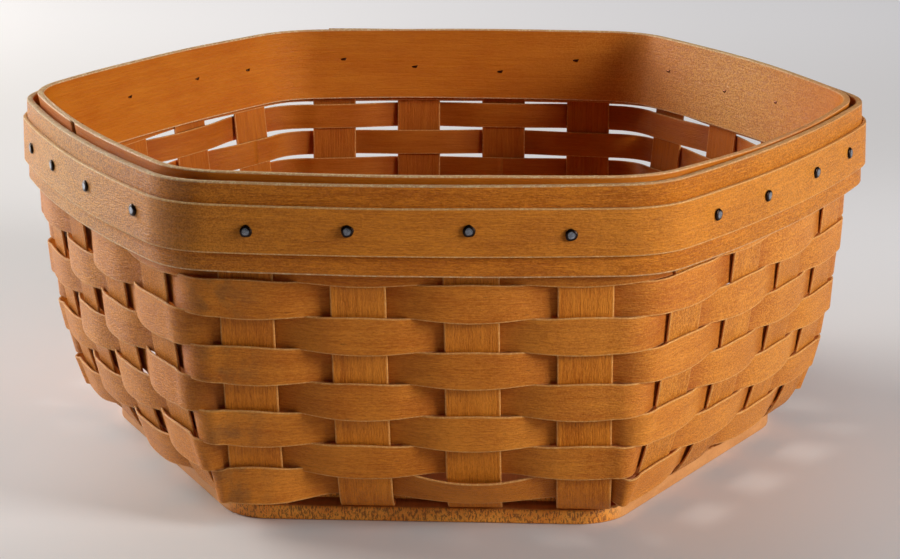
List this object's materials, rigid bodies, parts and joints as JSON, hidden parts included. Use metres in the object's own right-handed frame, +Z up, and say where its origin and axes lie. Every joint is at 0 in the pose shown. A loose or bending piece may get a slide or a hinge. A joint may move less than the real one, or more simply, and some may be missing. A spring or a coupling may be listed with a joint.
{
  "type": "splint basket",
  "caption": "Open six-sided basket woven from flat wooden splints on a solid board base, its flared wall held at the rim by tacked inner and outer bands.",
  "frame": {"origin": "middle of the base board's underside", "axes": "+Z up, -Y towards the front side, +X to the right along the front side, through two opposite corners of the hexagon"},
  "size_m": [0.3274, 0.3041, 0.133],
  "materials": {
    "board_wood": "oiled",
    "stake_wood": "oiled",
    "weaver_wood": "oiled",
    "band_wood": "oiled",
    "trim_wood": "oiled",
    "tack_steel": "blued"
  },
  "bodies": {
    "root": {"base_board": "board_wood", "stake_01": "stake_wood", "stake_02": "stake_wood", "stake_03": "stake_wood", "stake_04": "stake_wood", "stake_05": "stake_wood", "stake_06": "stake_wood", "stake_07": "stake_wood", "stake_08": "stake_wood", "stake_09": "stake_wood", "stake_10": "stake_wood", "stake_11": "stake_wood", "stake_12": "stake_wood", "stake_13": "stake_wood", "stake_14": "stake_wood", "stake_15": "stake_wood", "stake_16": "stake_wood", "stake_17": "stake_wood", "stake_18": "stake_wood", "stake_19": "stake_wood", "stake_20": "stake_wood", "stake_21": "stake_wood", "stake_22": "stake_wood", "stake_23": "stake_wood", "stake_24": "stake_wood", "weaver_1": "weaver_wood", "weaver_2": "weaver_wood", "weaver_3": "weaver_wood", "weaver_4": "weaver_wood", "weaver_5": "weaver_wood", "weaver_6": "weaver_wood", "weaver_7": "weaver_wood", "weaver_8": "weaver_wood", "inner_band": "band_wood", "outer_band": "band_wood", "trim_strip": "trim_wood", "tack_01": "tack_steel", "tack_02": "tack_steel", "tack_03": "tack_steel", "tack_04": "tack_steel", "tack_05": "tack_steel", "tack_06": "tack_steel", "tack_07": "tack_steel", "tack_08": "tack_steel", "tack_09": "tack_steel", "tack_10": "tack_steel", "tack_11": "tack_steel", "tack_12": "tack_steel", "tack_13": "tack_steel", "tack_14": "tack_steel", "tack_15": "tack_steel", "tack_16": "tack_steel", "tack_17": "tack_steel", "tack_18": "tack_steel", "tack_19": "tack_steel", "tack_20": "tack_steel", "tack_21": "tack_steel", "tack_22": "tack_steel", "tack_23": "tack_steel", "tack_24": "tack_steel"}
  },
  "joints": []
}
